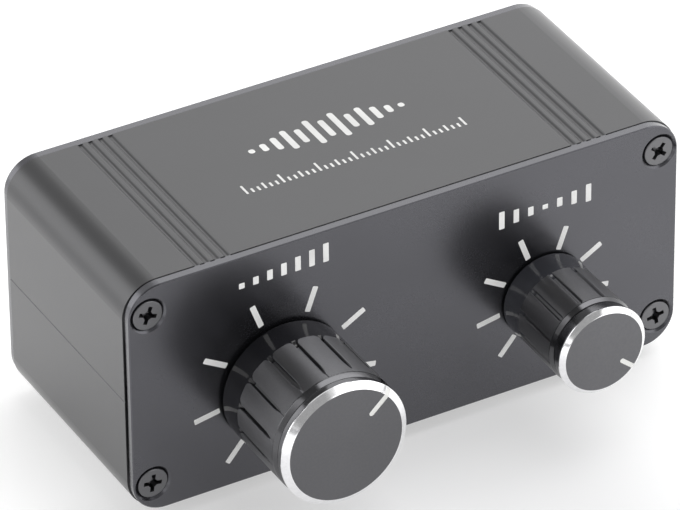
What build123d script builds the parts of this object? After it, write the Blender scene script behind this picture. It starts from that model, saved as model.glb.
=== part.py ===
"""Desktop monitor controller: a small passive box with a volume and a balance knob.

A two-piece extruded case is closed by two screwed end plates.  A board slides
in ribs in the lower half and carries two dual potentiometers at the front and
the phono and 3.5 mm sockets at the back.  Each knob is a moulded fluted body,
a turned cap and a pointer inlay, pressed on its potentiometer's shaft.

Millimetres.  X to the right seen from the front, Y to the back, Z up.
The origin is the middle of the footprint, on the surface the feet stand on.
"""
import os
from math import cos, radians, sin

from build123d import *

os.makedirs("parts", exist_ok=True)

# ------------------------------------------------------------- case
BOX_W = 88.0            # width of the extrusion
BOX_H = 37.7            # height of the closed extrusion
BODY_R = 5.2            # outer corner radius
BODY_L = 34.65          # length of the extrusion, front to back
WALL = 2.0              # wall of the extrusion
SEAM_V = 0.13           # chamfer along the split line
GROOVE_X0 = 27.52       # first decorative groove from the middle
GROOVE_PITCH = 1.584
GROOVE_N = 4            # grooves in each of the four groups
GROOVE_W = 0.95
GROOVE_D = 0.28
TONGUE_W = 0.8          # tongue along the split line
TONGUE_H = 1.0
TONGUE_GAP = 0.1
RIB_T = 1.0             # rib above the board
RIB_REACH = 1.8         # how far the rib stands out of the side wall

# ------------------------------------------------------------- end plates
PLATE_W = 87.5
PLATE_H = 37.5
PLATE_R = 5.0
PLATE_T = 1.4
PLATE_EDGE = 0.15       # broken front edge
PRY_HALF = 13.7         # half length of the shallow pry relief on the short sides
PRY_DEEP = 0.45         # its depth at the middle
PRY_IN = 1.2            # how far it reaches in from the edge

# ------------------------------------------------------------- case screws
SCREW_X = 40.7
SCREW_Z = 14.1
BOSS_R = 2.2
BOSS_HOLE_R = 1.3
SINK_R = 2.8            # countersink at the face
SINK_SMALL_R = 1.4      # countersink at the back of the plate
HEAD_R = 2.3
HEAD_DOWN = 0.08        # head below the plate's face
HEAD_ROUND = 0.14       # rounded edge of the head
SHANK_R = 1.25
SCREW_L = 8.0           # shank behind the plate
CROSS_ANGLES_FRONT = (20.0, 37.0, 8.0, -10.0)
CROSS_ANGLES_REAR = (64.0, 12.0, 31.0, 75.0)

# ------------------------------------------------------------- feet
FOOT_H = 2.0
FOOT_R = 4.0
FOOT_X = 22.0
FOOT_Y = (8.4, 29.05)   # behind the front plate's face

# ------------------------------------------------------------- board
BOARD_T = 1.6
BOARD_TOP = -10.25      # from the middle height of the case
BOARD_HALF = 41.3
BOARD_Y0, BOARD_Y1 = 2.4, 35.2

# ------------------------------------------------------------- controls
VOL_X, BAL_X = -20.0, 22.0
KNOB_Z = -3.8
PANEL_HOLE_R = 3.6
BUSH_R = 3.5            # M7 bushing
BUSH_OUT = 4.5          # in front of the panel's face
BUSH_BORE_R = 3.05
SHAFT_R = 3.0
SHAFT_OUT = 13.0
POT_W = 11.0
POT_UP = 5.5            # top of the potentiometer above its axis
POT_PLATE_T = 2.0
POT_BODY_L = 9.0
POT_CAVITY_R = 4.6
ROTOR_R = 4.2
COVER_T = 0.6
WASHER_T = 0.5
WASHER_R = 5.0
NUT_T = 1.6
NUT_AF = 9.0
NUT_ROUND_R = 5.0
PIN_R = 0.4
PIN_HOLE_R = 0.5

# volume knob, heights are in front of the panel's face
V_RIM_R, V_RIM_H = 9.86, 0.6
V_SKIRT_R, V_SKIRT_H = 9.89, 3.4            # plain glossy skirt behind the lands
V_LAND_R, V_LAND_H = 9.84, 5.2
V_GRIP_R, V_GRIP_H = 9.89, 12.0
V_GRIP_END = 14.9
V_SHOULDER_R, V_SHOULDER_H = 9.6, 15.54     # front edge of the turned chamfer
V_COLLAR_R, V_COLLAR_END_R = 9.66, 9.43     # the collar narrows to the front
V_COLLAR_H0, V_COLLAR_H1 = 15.56, 17.0
V_CAP_R, V_CAP_H = 9.84, 17.23
V_FACE_R, V_FACE_H = 8.8, 17.87
V_SLOTS, V_SLOT_W, V_SLOT_R = 15, 0.5, 9.25
V_SLOT_H0, V_SLOT_H1 = 4.85, 13.9           # where a slot leaves and meets the outside
V_SLOT_RUN = 0.9                            # length of its run-outs
V_POINTER = 46.7        # clockwise from straight up, seen from the front
V_SLOT_PHASE = V_POINTER - 4.3
V_POINTER_IN, V_POINTER_W = 5.2, 0.8

# balance knob
B_RIM_R, B_RIM_H = 6.77, 0.3
B_SKIRT_R, B_SKIRT_H = 6.8, 2.4
B_LAND_R, B_LAND_H = 6.765, 4.2
B_GRIP_R, B_GRIP_H = 6.88, 10.5
B_GRIP_END = 13.3
B_SHOULDER_R, B_SHOULDER_H = 6.6, 13.98
B_COLLAR_R, B_COLLAR_END_R = 6.62, 6.48
B_COLLAR_H0, B_COLLAR_H1 = 14.0, 15.7
B_CAP_R, B_CAP_H = 6.97, 15.95
B_FACE_R, B_FACE_H = 6.22, 16.5
B_SLOTS, B_SLOT_W, B_SLOT_R = 12, 0.5, 6.5
B_SLOT_H0, B_SLOT_H1 = 4.35, 13.3
B_SLOT_RUN0, B_SLOT_RUN1 = 0.9, 0.35
B_POINTER = 130.3
B_SLOT_PHASE = B_POINTER + 5.8
B_POINTER_IN, B_POINTER_W = 3.6, 0.7

CAP_SPIGOT_H = 1.0
POINTER_DEEP = 0.6
POINTER_SUNK = 0.06

# ------------------------------------------------------------- rear sockets
PHONO_Z = -2.75
PHONO_PAIR_X = 26.0     # middle of each pair from the middle of the case
PHONO_PITCH = 14.0
PHONO_BLOCK_W, PHONO_BLOCK_L, PHONO_BLOCK_UP = 24.0, 11.0, 5.6
PHONO_FLANGE_R, PHONO_FLANGE_T = 5.4, 0.5
PHONO_R, PHONO_IN_R = 4.15, 3.45
PHONO_COLLAR_R = 4.6    # collar in the plate's hole
PHONO_HOLE_R = 4.7
PHONO_END = 46.0        # end of the sleeve behind the front plate's face
PHONO_INSULATOR_END = 45.2
CONTACT_R, CONTACT_IN_R = 2.0, 1.62
CONTACT_END = 44.8
CONTACT_START = 36.8
JACK_X = 5.6
JACK_Z = -5.15
JACK_W, JACK_UP, JACK_L = 8.4, 3.2, 12.5
JACK_BARREL_R = 3.0
JACK_BORE_R = 1.8
JACK_HOLE_R = 3.15
JACK_END = 41.0
JACK_NUT_R, JACK_NUT_T = 4.1, 1.8
JACK_BORE_L = 14.0

RESISTOR_R, RESISTOR_L = 1.15, 6.0
LEAD_R = 0.3

# ------------------------------------------------------------- frame
FRONT_Y = (V_FACE_H - PHONO_END) / 2.0      # the front plate's face
MID_Z = FOOT_H + BOX_H / 2.0                # middle height of the case
REAR_IN = PLATE_T + BODY_L                  # inner face of the rear plate
REAR_OUT = REAR_IN + PLATE_T                # outer face of the rear plate


def across(depth):
    """Plane across the case, depth mm behind the front plate's face.

    Its normal points to the front, its local x is X and its local y is Z.
    """
    return Plane(origin=(0, FRONT_Y + depth, MID_Z), x_dir=(1, 0, 0), z_dir=(0, -1, 0))


def half_section(x, z):
    """Plane of a turned piece: local x is its radius, local y its height in
    front of the panel's face."""
    return Plane(origin=(x, FRONT_Y, MID_Z + z), x_dir=(1, 0, 0), z_dir=(0, 0, -1))


def turning_axis(x, z):
    return Axis((x, FRONT_Y, MID_Z + z), (0, -1, 0))


def radial_section(x, z, azimuth):
    """Half section turned to an azimuth, clockwise from up seen from the front."""
    a = radians(azimuth)
    out = Vector(sin(a), 0, cos(a))
    return Plane(origin=(x, FRONT_Y, MID_Z + z), x_dir=out, z_dir=out.cross(Vector(0, -1, 0)))


# ============================================================= case shells
GROOVE_R = (GROOVE_W ** 2 / 4 + GROOVE_D ** 2) / (2 * GROOVE_D)
GROOVE_POINTS = [
    (side * (GROOVE_X0 + k * GROOVE_PITCH), BOX_H / 2 + GROOVE_R - GROOVE_D)
    for side in (-1, 1) for k in range(GROOVE_N)
]
TONGUE_X = BOX_W / 2 - WALL / 2

with BuildPart() as top_shell:
    with BuildSketch(across(PLATE_T)):
        RectangleRounded(BOX_W, BOX_H, BODY_R)
        RectangleRounded(BOX_W - 2 * WALL, BOX_H - 2 * WALL, BODY_R - WALL, mode=Mode.SUBTRACT)
        with Locations((-SCREW_X, SCREW_Z), (SCREW_X, SCREW_Z)):
            Circle(BOSS_R)
            Circle(BOSS_HOLE_R, mode=Mode.SUBTRACT)
        with Locations(*GROOVE_POINTS):
            Circle(GROOVE_R, mode=Mode.SUBTRACT)
        with Locations((0, BOX_H / 2)):
            Rectangle(BOX_W + 2, BOX_H, mode=Mode.INTERSECT)
        with Locations((-BOX_W / 2, 0), (BOX_W / 2, 0)):
            Rectangle(SEAM_V * 2 ** 0.5, SEAM_V * 2 ** 0.5, rotation=45, mode=Mode.SUBTRACT)
        # tongue on the right, groove on the left
        with Locations((TONGUE_X, -TONGUE_H / 2 + 0.1)):
            Rectangle(TONGUE_W, TONGUE_H + 0.2)
        with Locations((-TONGUE_X, (TONGUE_H + TONGUE_GAP) / 2)):
            Rectangle(TONGUE_W + 2 * TONGUE_GAP, TONGUE_H + TONGUE_GAP, mode=Mode.SUBTRACT)
    extrude(amount=-BODY_L)
top_shell.part.label = "top_shell"
export_step(top_shell.part, "parts/top_shell.step")

BOARD_BOTTOM = BOARD_TOP - BOARD_T
with BuildPart() as bottom_shell:
    with BuildSketch(across(PLATE_T)):
        RectangleRounded(BOX_W, BOX_H, BODY_R)
        RectangleRounded(BOX_W - 2 * WALL, BOX_H - 2 * WALL, BODY_R - WALL, mode=Mode.SUBTRACT)
        with Locations((-SCREW_X, -SCREW_Z), (SCREW_X, -SCREW_Z)):
            Circle(BOSS_R)
            Circle(BOSS_HOLE_R, mode=Mode.SUBTRACT)
        with Locations(*[(gx, -gz) for gx, gz in GROOVE_POINTS]):
            Circle(GROOVE_R, mode=Mode.SUBTRACT)
        with Locations((0, -BOX_H / 2)):
            Rectangle(BOX_W + 2, BOX_H, mode=Mode.INTERSECT)
        with Locations((-BOX_W / 2, 0), (BOX_W / 2, 0)):
            Rectangle(SEAM_V * 2 ** 0.5, SEAM_V * 2 ** 0.5, rotation=45, mode=Mode.SUBTRACT)
        # tongue on the left, groove on the right
        with Locations((-TONGUE_X, TONGUE_H / 2 - 0.1)):
            Rectangle(TONGUE_W, TONGUE_H + 0.2)
        with Locations((TONGUE_X, -(TONGUE_H + TONGUE_GAP) / 2)):
            Rectangle(TONGUE_W + 2 * TONGUE_GAP, TONGUE_H + TONGUE_GAP, mode=Mode.SUBTRACT)
        # ribs that hold the board down
        rib_w = RIB_REACH + 0.5
        rib_x = BOX_W / 2 - WALL - RIB_REACH + rib_w / 2
        with Locations((-rib_x, BOARD_TOP + 0.1 + RIB_T / 2), (rib_x, BOARD_TOP + 0.1 + RIB_T / 2)):
            Rectangle(rib_w, RIB_T)
    extrude(amount=-BODY_L)
bottom_shell.part.label = "bottom_shell"
export_step(bottom_shell.part, "parts/bottom_shell.step")

# ============================================================= end plates
PRY_R = (PRY_HALF ** 2 + PRY_DEEP ** 2) / (2 * PRY_DEEP)

with BuildPart() as front_plate:
    with BuildSketch(across(PLATE_T)):
        RectangleRounded(PLATE_W, PLATE_H, PLATE_R)
        with Locations((VOL_X, KNOB_Z), (BAL_X, KNOB_Z)):
            Circle(PANEL_HOLE_R, mode=Mode.SUBTRACT)
    extrude(amount=PLATE_T)
    outer_edges = front_plate.edges().filter_by(
        lambda e: abs(e.center().Y - FRONT_Y) < 1e-6 and e.geom_type != GeomType.CIRCLE
        or abs(e.center().Y - FRONT_Y) < 1e-6 and abs(e.radius - PLATE_R) < 1e-6)
    chamfer(outer_edges, length=PLATE_EDGE)
    # countersinks
    for sx in (-1, 1):
        for sz in (-1, 1):
            with BuildSketch(half_section(sx * SCREW_X, sz * SCREW_Z)):
                with BuildLine():
                    Polyline((0, 0.5), (SINK_R, 0.5), (SINK_R, 0), (SINK_SMALL_R, -PLATE_T),
                             (SINK_SMALL_R, -PLATE_T - 0.5), (0, -PLATE_T - 0.5), close=True)
                make_face()
            revolve(axis=turning_axis(sx * SCREW_X, sz * SCREW_Z), mode=Mode.SUBTRACT)
    # pry relief along the back edge of both short sides
    for sx in (-1, 1):
        with BuildSketch(Plane(origin=(sx * (PLATE_W / 2 - PRY_IN / 2 + 0.5), FRONT_Y, MID_Z),
                               x_dir=(0, 1, 0), z_dir=(1, 0, 0))):
            with BuildLine():
                RadiusArc((PLATE_T, -PRY_HALF), (PLATE_T, PRY_HALF), PRY_R)
                Polyline((PLATE_T, PRY_HALF), (PLATE_T + 1, PRY_HALF),
                         (PLATE_T + 1, -PRY_HALF), (PLATE_T, -PRY_HALF))
            make_face()
        extrude(amount=PRY_IN / 2 + 0.5, both=True, mode=Mode.SUBTRACT)
front_plate.part.label = "front_plate"
export_step(front_plate.part, "parts/front_plate.step")

PHONO_X = [s * PHONO_PAIR_X + d * PHONO_PITCH / 2 for s in (-1, 1) for d in (-1, 1)]

with BuildPart() as rear_plate:
    with BuildSketch(across(REAR_OUT)):
        RectangleRounded(PLATE_W, PLATE_H, PLATE_R)
        with Locations(*[(x, PHONO_Z) for x in PHONO_X]):
            Circle(PHONO_HOLE_R, mode=Mode.SUBTRACT)
        with Locations((-JACK_X, JACK_Z), (JACK_X, JACK_Z)):
            Circle(JACK_HOLE_R, mode=Mode.SUBTRACT)
    extrude(amount=PLATE_T)
    outer_edges = rear_plate.edges().filter_by(
        lambda e: abs(e.center().Y - FRONT_Y - REAR_OUT) < 1e-6 and e.geom_type != GeomType.CIRCLE
        or abs(e.center().Y - FRONT_Y - REAR_OUT) < 1e-6 and abs(e.radius - PLATE_R) < 1e-6)
    chamfer(outer_edges, length=PLATE_EDGE)
    for sx in (-1, 1):
        for sz in (-1, 1):
            with BuildSketch(half_section(sx * SCREW_X, sz * SCREW_Z)):
                with BuildLine():
                    Polyline((0, -REAR_OUT - 0.5), (SINK_R, -REAR_OUT - 0.5), (SINK_R, -REAR_OUT),
                             (SINK_SMALL_R, -REAR_IN), (SINK_SMALL_R, -REAR_IN + 0.5),
                             (0, -REAR_IN + 0.5), close=True)
                make_face()
            revolve(axis=turning_axis(sx * SCREW_X, sz * SCREW_Z), mode=Mode.SUBTRACT)
rear_plate.part.label = "rear_plate"
export_step(rear_plate.part, "parts/rear_plate.step")

# ============================================================= case screws
HEAD_EDGE_H = SINK_R - HEAD_R               # depth where the head's rim meets the countersink
CORNERS = [(-SCREW_X, SCREW_Z), (SCREW_X, SCREW_Z), (-SCREW_X, -SCREW_Z), (SCREW_X, -SCREW_Z)]

with BuildPart() as front_plate_screws:
    for (cx, cz), turn in zip(CORNERS, CROSS_ANGLES_FRONT):
        with BuildSketch(half_section(cx, cz)):
            with BuildLine():
                Polyline((0, -HEAD_DOWN), (HEAD_R - HEAD_ROUND, -HEAD_DOWN),
                         (HEAD_R - 0.3 * HEAD_ROUND, -HEAD_DOWN - 0.3 * HEAD_ROUND),
                         (HEAD_R, -HEAD_DOWN - HEAD_ROUND), (HEAD_R, -HEAD_EDGE_H),
                         (SINK_SMALL_R, -PLATE_T), (SHANK_R, -PLATE_T),
                         (SHANK_R, -PLATE_T - SCREW_L + 0.6), (SHANK_R - 0.6, -PLATE_T - SCREW_L),
                         (0, -PLATE_T - SCREW_L), close=True)
            make_face()
        revolve(axis=turning_axis(cx, cz))
    for (cx, cz), turn in zip(CORNERS, CROSS_ANGLES_FRONT):
        with BuildSketch(across(HEAD_DOWN)):
            with Locations(Location((cx, cz, 0), (0, 0, -turn))):
                Rectangle(2.8, 0.62)
                Rectangle(0.62, 2.8)
                Circle(0.7)
        extrude(amount=-1.0, taper=14, mode=Mode.SUBTRACT)
front_plate_screws.part.label = "front_plate_screws"
export_step(front_plate_screws.part, "parts/front_plate_screws.step")

with BuildPart() as rear_plate_screws:
    for cx, cz in CORNERS:
        with BuildSketch(half_section(cx, cz)):
            with BuildLine():
                Polyline((0, -REAR_OUT + HEAD_DOWN), (HEAD_R - HEAD_ROUND, -REAR_OUT + HEAD_DOWN),
                         (HEAD_R - 0.3 * HEAD_ROUND, -REAR_OUT + HEAD_DOWN + 0.3 * HEAD_ROUND),
                         (HEAD_R, -REAR_OUT + HEAD_DOWN + HEAD_ROUND), (HEAD_R, -REAR_OUT + HEAD_EDGE_H),
                         (SINK_SMALL_R, -REAR_IN),
                         (SHANK_R, -REAR_IN), (SHANK_R, -REAR_IN + SCREW_L - 0.6),
                         (SHANK_R - 0.6, -REAR_IN + SCREW_L), (0, -REAR_IN + SCREW_L), close=True)
            make_face()
        revolve(axis=turning_axis(cx, cz))
    for (cx, cz), turn in zip(CORNERS, CROSS_ANGLES_REAR):
        with BuildSketch(across(REAR_OUT - HEAD_DOWN)):
            with Locations(Location((cx, cz, 0), (0, 0, -turn))):
                Rectangle(2.8, 0.62)
                Rectangle(0.62, 2.8)
                Circle(0.7)
        extrude(amount=1.0, taper=14, mode=Mode.SUBTRACT)
rear_plate_screws.part.label = "rear_plate_screws"
export_step(rear_plate_screws.part, "parts/rear_plate_screws.step")

# ============================================================= feet
with BuildPart() as rubber_feet:
    with BuildSketch(Plane.XY):
        with Locations(*[(sx * FOOT_X, FRONT_Y + fy) for sx in (-1, 1) for fy in FOOT_Y]):
            Circle(FOOT_R)
    extrude(amount=FOOT_H)
    chamfer(rubber_feet.edges().group_by(Axis.Z)[0], length=0.5)
rubber_feet.part.label = "rubber_feet"
export_step(rubber_feet.part, "parts/rubber_feet.step")

# ============================================================= board
POT_PIN_ROWS = (6.4, 10.0)                  # behind the panel's face
POT_PIN_X = (-2.5, 0.0, 2.5)
PHONO_PIN_Y = REAR_IN - PHONO_FLANGE_T - 4.0
PHONO_PIN_X = (-2.5, 2.5)
JACK_PIN_ROWS = (REAR_IN - 3.5, REAR_IN - 10.5)
JACK_PIN_X = (-2.6, 2.6)
RESISTOR_ROWS = (14.4, 16.8, 19.2, 21.6)
LEAD_X = 5.08                               # half distance between the bent leads
BOARD_UNDER = MID_Z + BOARD_BOTTOM
PIN_END = BOARD_UNDER - 1.0                 # pins and leads end under the board

with BuildPart() as circuit_board:
    with BuildSketch(Plane.XY.offset(BOARD_UNDER)):
        with Locations((0, FRONT_Y + (BOARD_Y0 + BOARD_Y1) / 2)):
            Rectangle(2 * BOARD_HALF, BOARD_Y1 - BOARD_Y0)
        with Locations(
            *[(kx + px, FRONT_Y + py) for kx in (VOL_X, BAL_X) for px in POT_PIN_X for py in POT_PIN_ROWS],
            *[(x + px, FRONT_Y + PHONO_PIN_Y) for x in PHONO_X for px in PHONO_PIN_X],
            *[(s * JACK_X + px, FRONT_Y + py) for s in (-1, 1) for px in JACK_PIN_X for py in JACK_PIN_ROWS],
        ):
            Circle(PIN_HOLE_R, mode=Mode.SUBTRACT)
        with Locations(*[(s * LEAD_X, FRONT_Y + ry) for s in (-1, 1) for ry in RESISTOR_ROWS]):
            Circle(LEAD_R + 0.1, mode=Mode.SUBTRACT)
    extrude(amount=BOARD_T)
circuit_board.part.label = "circuit_board"
export_step(circuit_board.part, "parts/circuit_board.step")

# resistors of the balance network, side by side across the board
RES_Z = MID_Z + BOARD_TOP + RESISTOR_R
with BuildPart() as balance_resistors:
    for row in RESISTOR_ROWS:
        ry = FRONT_Y + row
        with BuildSketch(Plane(origin=(0, ry, RES_Z), x_dir=(1, 0, 0), z_dir=(0, -1, 0))):
            with BuildLine():
                Polyline((-RESISTOR_L / 2, 0), (-RESISTOR_L / 2, RESISTOR_R - 0.2),
                         (-RESISTOR_L / 2 + 0.2, RESISTOR_R), (-RESISTOR_L / 2 + 1.2, RESISTOR_R),
                         (-RESISTOR_L / 2 + 1.6, RESISTOR_R - 0.15), (RESISTOR_L / 2 - 1.6, RESISTOR_R - 0.15),
                         (RESISTOR_L / 2 - 1.2, RESISTOR_R), (RESISTOR_L / 2 - 0.2, RESISTOR_R),
                         (RESISTOR_L / 2, RESISTOR_R - 0.2), (RESISTOR_L / 2, 0), close=True)
            make_face()
        revolve(axis=Axis((0, ry, RES_Z), (1, 0, 0)))
        with BuildLine():
            FilletPolyline((-LEAD_X, ry, PIN_END), (-LEAD_X, ry, RES_Z),
                           (LEAD_X, ry, RES_Z), (LEAD_X, ry, PIN_END), radius=0.7)
        with BuildSketch(Plane(origin=(-LEAD_X, ry, PIN_END), x_dir=(1, 0, 0), z_dir=(0, 0, 1))):
            Circle(LEAD_R)
        sweep()
balance_resistors.part.label = "balance_resistors"
export_step(balance_resistors.part, "parts/balance_resistors.step")

# ============================================================= potentiometers
POT_TOP = KNOB_Z + POT_UP
POT_H = POT_TOP - BOARD_TOP
POT_MID = (POT_TOP + BOARD_TOP) / 2
POT_PLATE_END = PLATE_T + POT_PLATE_T
POT_BODY_END = POT_PLATE_END + POT_BODY_L

for control, kx in (("volume", VOL_X), ("balance", BAL_X)):
    # mounting plate and threaded bushing, one casting
    with BuildPart() as pot_bushing:
        with BuildSketch(across(PLATE_T)):
            with Locations((kx, POT_MID)):
                Rectangle(POT_W, POT_H)
        extrude(amount=-POT_PLATE_T)
        with BuildSketch(across(PLATE_T)):
            with Locations((kx, KNOB_Z)):
                Circle(BUSH_R)
        extrude(amount=BUSH_OUT + PLATE_T)
        chamfer(pot_bushing.edges().group_by(Axis.Y)[0], length=0.25)
        with BuildSketch(across(POT_PLATE_END)):
            with Locations((kx, KNOB_Z)):
                Circle(BUSH_BORE_R)
        extrude(amount=BUSH_OUT + POT_PLATE_END, mode=Mode.SUBTRACT)
    pot_bushing.part.label = control + "_pot_bushing"
    export_step(pot_bushing.part, "parts/" + control + "_pot_bushing.step")

    # moulded body around both resistance tracks
    with BuildPart() as pot_housing:
        with BuildSketch(across(POT_PLATE_END)):
            with Locations((kx, POT_MID)):
                Rectangle(POT_W, POT_H)
            with Locations((kx, KNOB_Z)):
                Circle(POT_CAVITY_R, mode=Mode.SUBTRACT)
        extrude(amount=-POT_BODY_L)
        # waist between the two gangs
        with BuildSketch(across(POT_PLATE_END + POT_BODY_L / 2 - 0.3)):
            with Locations((kx, POT_MID)):
                Rectangle(POT_W + 1, POT_H + 1)
                Rectangle(POT_W - 0.6, POT_H + 2, mode=Mode.SUBTRACT)
        extrude(amount=-0.6, mode=Mode.SUBTRACT)
    pot_housing.part.label = control + "_pot_housing"
    export_step(pot_housing.part, "parts/" + control + "_pot_housing.step")

    with BuildPart() as pot_cover:
        with BuildSketch(across(POT_BODY_END)):
            with Locations((kx, POT_MID)):
                Rectangle(POT_W, POT_H)
        extrude(amount=-COVER_T)
    pot_cover.part.label = control + "_pot_cover"
    export_step(pot_cover.part, "parts/" + control + "_pot_cover.step")

    with BuildPart() as pot_terminals:
        with BuildSketch(Plane.XY.offset(MID_Z + BOARD_TOP)):
            with Locations(*[(kx + px, FRONT_Y + py) for px in POT_PIN_X for py in POT_PIN_ROWS]):
                Circle(PIN_R)
        extrude(amount=PIN_END - MID_Z - BOARD_TOP)
    pot_terminals.part.label = control + "_pot_terminals"
    export_step(pot_terminals.part, "parts/" + control + "_pot_terminals.step")

    with BuildPart() as pot_washer:
        with BuildSketch(across(0)):
            with Locations((kx, KNOB_Z)):
                Circle(WASHER_R)
                Circle(BUSH_R + 0.05, mode=Mode.SUBTRACT)
        extrude(amount=WASHER_T)
    pot_washer.part.label = control + "_pot_washer"
    export_step(pot_washer.part, "parts/" + control + "_pot_washer.step")

    with BuildPart() as pot_nut:
        with BuildSketch(across(-WASHER_T)):
            with Locations((kx, KNOB_Z)):
                RegularPolygon(NUT_AF / 2, 6, major_radius=False)
                Circle(NUT_ROUND_R, mode=Mode.INTERSECT)
                Circle(BUSH_R + 0.03, mode=Mode.SUBTRACT)
        extrude(amount=NUT_T)
    pot_nut.part.label = control + "_pot_nut"
    export_step(pot_nut.part, "parts/" + control + "_pot_nut.step")

    # wiper carrier, one disc for each track
    with BuildPart() as pot_rotor:
        with BuildSketch(half_section(kx, KNOB_Z)):
            with BuildLine():
                Polyline((SHAFT_R, -3.65), (ROTOR_R, -3.65), (ROTOR_R, -5.2), (3.7, -5.2),
                         (3.7, -9.6), (ROTOR_R, -9.6), (ROTOR_R, -11.2), (SHAFT_R, -11.2), close=True)
            make_face()
        revolve(axis=turning_axis(kx, KNOB_Z))
    pot_rotor.part.label = control + "_pot_rotor"
    export_step(pot_rotor.part, "parts/" + control + "_pot_rotor.step")

    # split and knurled shaft
    with BuildPart() as shaft:
        with BuildSketch(half_section(kx, KNOB_Z)):
            with BuildLine():
                Polyline((0, -11.6), (SHAFT_R - 0.3, -11.6), (SHAFT_R, -11.3), (SHAFT_R, SHAFT_OUT - 0.5),
                         (SHAFT_R - 0.5, SHAFT_OUT), (0, SHAFT_OUT), close=True)
            make_face()
        revolve(axis=turning_axis(kx, KNOB_Z))
        with BuildSketch(across(-6.0)):
            with Locations((kx, KNOB_Z)):
                with PolarLocations(SHAFT_R, 18):
                    Rectangle(0.36, 0.36, rotation=45)
        extrude(amount=SHAFT_OUT, mode=Mode.SUBTRACT)
        with BuildSketch(across(-7.0)):
            with Locations((kx, KNOB_Z)):
                Rectangle(1.0, 2 * SHAFT_R + 1)
        extrude(amount=SHAFT_OUT, mode=Mode.SUBTRACT)
    shaft.part.label = control + "_shaft"
    export_step(shaft.part, "parts/" + control + "_shaft.step")

# ============================================================= volume knob
with BuildPart() as volume_knob_body:
    with BuildSketch(half_section(VOL_X, KNOB_Z)):
        with BuildLine():
            Polyline((0, 16.0), (0, 13.4), (SHAFT_R, 13.4), (SHAFT_R, 5.5), (4.2, 5.5), (4.2, 14.2), (7.4, 14.2),
                     (7.4, V_RIM_H), (V_RIM_R - 0.12, V_RIM_H), (V_RIM_R, V_RIM_H + 0.12),
                     (V_SKIRT_R, V_SKIRT_H), (V_LAND_R, V_LAND_H), (V_GRIP_R, V_GRIP_H), (V_GRIP_R, V_GRIP_END),
                     (V_SHOULDER_R, V_SHOULDER_H), (V_COLLAR_R - 0.16, V_COLLAR_H0),
                     (V_COLLAR_R - 0.16, V_COLLAR_H0 + 0.08), (V_COLLAR_R, V_COLLAR_H0 + 0.14),
                     (V_COLLAR_R, V_COLLAR_H0 + 0.24), (V_COLLAR_END_R, V_COLLAR_H1),
                     (6.0, V_COLLAR_H1), (6.0, 16.0), (0, 16.0))
        make_face()
    revolve(axis=turning_axis(VOL_X, KNOB_Z))
    for k in range(V_SLOTS):
        with BuildSketch(radial_section(VOL_X, KNOB_Z, V_SLOT_PHASE + 360.0 / V_SLOTS * k)):
            with BuildLine():
                Polyline((V_SLOT_R, V_SLOT_H0 + V_SLOT_RUN), (V_GRIP_R, V_SLOT_H0), (V_GRIP_R + 1, V_SLOT_H0),
                         (V_GRIP_R + 1, V_SLOT_H1), (V_GRIP_R, V_SLOT_H1),
                         (V_SLOT_R, V_SLOT_H1 - V_SLOT_RUN), close=True)
            make_face()
        extrude(amount=V_SLOT_W / 2, both=True, mode=Mode.SUBTRACT)
volume_knob_body.part.label = "volume_knob_body"
export_step(volume_knob_body.part, "parts/volume_knob_body.step")

# turned cap, its edge cut to a bright bevel, with a milled pointer groove
with BuildPart() as volume_knob_cap:
    with BuildSketch(half_section(VOL_X, KNOB_Z)):
        with BuildLine():
            Polyline((0, V_COLLAR_H1 - CAP_SPIGOT_H), (6.0, V_COLLAR_H1 - CAP_SPIGOT_H), (6.0, V_COLLAR_H1),
                     (V_CAP_R, V_COLLAR_H1), (V_CAP_R, V_CAP_H), (V_FACE_R, V_FACE_H), (0, V_FACE_H), close=True)
        make_face()
    revolve(axis=turning_axis(VOL_X, KNOB_Z))
    with BuildSketch(across(-V_FACE_H)):
        with Locations(Location((VOL_X, KNOB_Z, 0), (0, 0, -V_POINTER))):
            with Locations((0, V_POINTER_IN + V_POINTER_W / 2)):
                Circle(V_POINTER_W / 2)
            with Locations((0, (V_POINTER_IN + V_POINTER_W / 2 + V_CAP_R + 1) / 2)):
                Rectangle(V_POINTER_W, V_CAP_R + 1 - V_POINTER_IN - V_POINTER_W / 2)
    extrude(amount=-POINTER_DEEP, mode=Mode.SUBTRACT)
volume_knob_cap.part.label = "volume_knob_cap"
export_step(volume_knob_cap.part, "parts/volume_knob_cap.step")

with BuildPart() as volume_knob_pointer:
    with BuildSketch(across(-V_FACE_H + POINTER_DEEP)):
        with Locations(Location((VOL_X, KNOB_Z, 0), (0, 0, -V_POINTER))):
            with Locations((0, V_POINTER_IN + V_POINTER_W / 2)):
                Circle(V_POINTER_W / 2)
            with Locations((0, (V_POINTER_IN + V_POINTER_W / 2 + V_CAP_R + 1) / 2)):
                Rectangle(V_POINTER_W, V_CAP_R + 1 - V_POINTER_IN - V_POINTER_W / 2)
    extrude(amount=POINTER_DEEP)
    with BuildSketch(half_section(VOL_X, KNOB_Z)):
        with BuildLine():
            Polyline((0, V_COLLAR_H1), (V_CAP_R, V_COLLAR_H1), (V_CAP_R, V_CAP_H - POINTER_SUNK),
                     (V_FACE_R, V_FACE_H - POINTER_SUNK), (0, V_FACE_H - POINTER_SUNK), close=True)
        make_face()
    revolve(axis=turning_axis(VOL_X, KNOB_Z), mode=Mode.INTERSECT)
volume_knob_pointer.part.label = "volume_knob_pointer"
export_step(volume_knob_pointer.part, "parts/volume_knob_pointer.step")

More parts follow.
